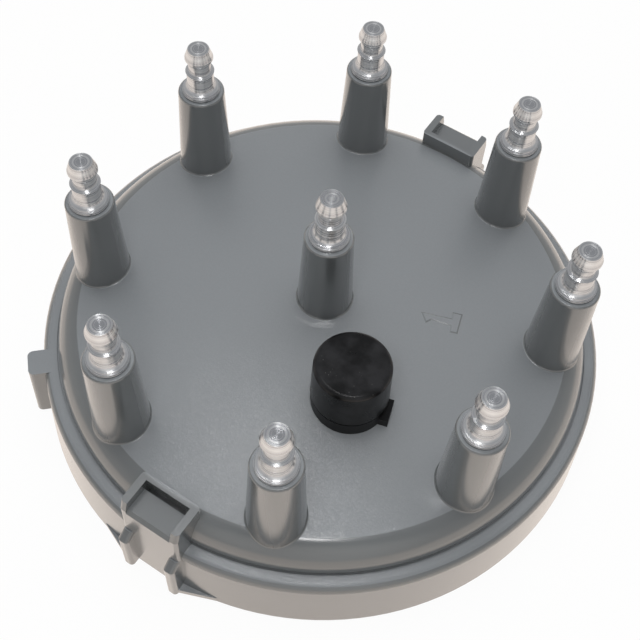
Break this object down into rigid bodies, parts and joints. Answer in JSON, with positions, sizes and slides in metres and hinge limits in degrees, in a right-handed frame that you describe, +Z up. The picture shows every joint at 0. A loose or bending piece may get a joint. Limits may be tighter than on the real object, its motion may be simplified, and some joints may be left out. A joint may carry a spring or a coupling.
{
  "type": "distributor cap",
  "caption": "Round moulded ignition distributor cap: tapered towers with turned push-on posts round a middle coil post, two spring-clip boxes, a locating key and a vent.",
  "frame": {"origin": "on the cap's axis in the plane of its open rim", "axes": "+Z up through the towers, the two clip boxes on the Y axis, tower number 1 at 22.5 degrees from +X"},
  "size_m": [0.1298, 0.1342, 0.062],
  "materials": {
    "cap_plastic": "fine matt grain, semi-gloss skin",
    "terminal_aluminium": "bright turned",
    "carbon": "matt",
    "vent_plastic": "satin",
    "vent_rubber": "satin"
  },
  "bodies": {
    "root": {"cap_body": "cap_plastic", "plug_terminal_1": "terminal_aluminium", "plug_terminal_2": "terminal_aluminium", "plug_terminal_3": "terminal_aluminium", "plug_terminal_4": "terminal_aluminium", "plug_terminal_5": "terminal_aluminium", "plug_terminal_6": "terminal_aluminium", "plug_terminal_7": "terminal_aluminium", "plug_terminal_8": "terminal_aluminium", "coil_terminal": "terminal_aluminium", "carbon_button": "carbon", "vent_base": "vent_plastic", "vent_cap": "vent_rubber"}
  },
  "joints": []
}
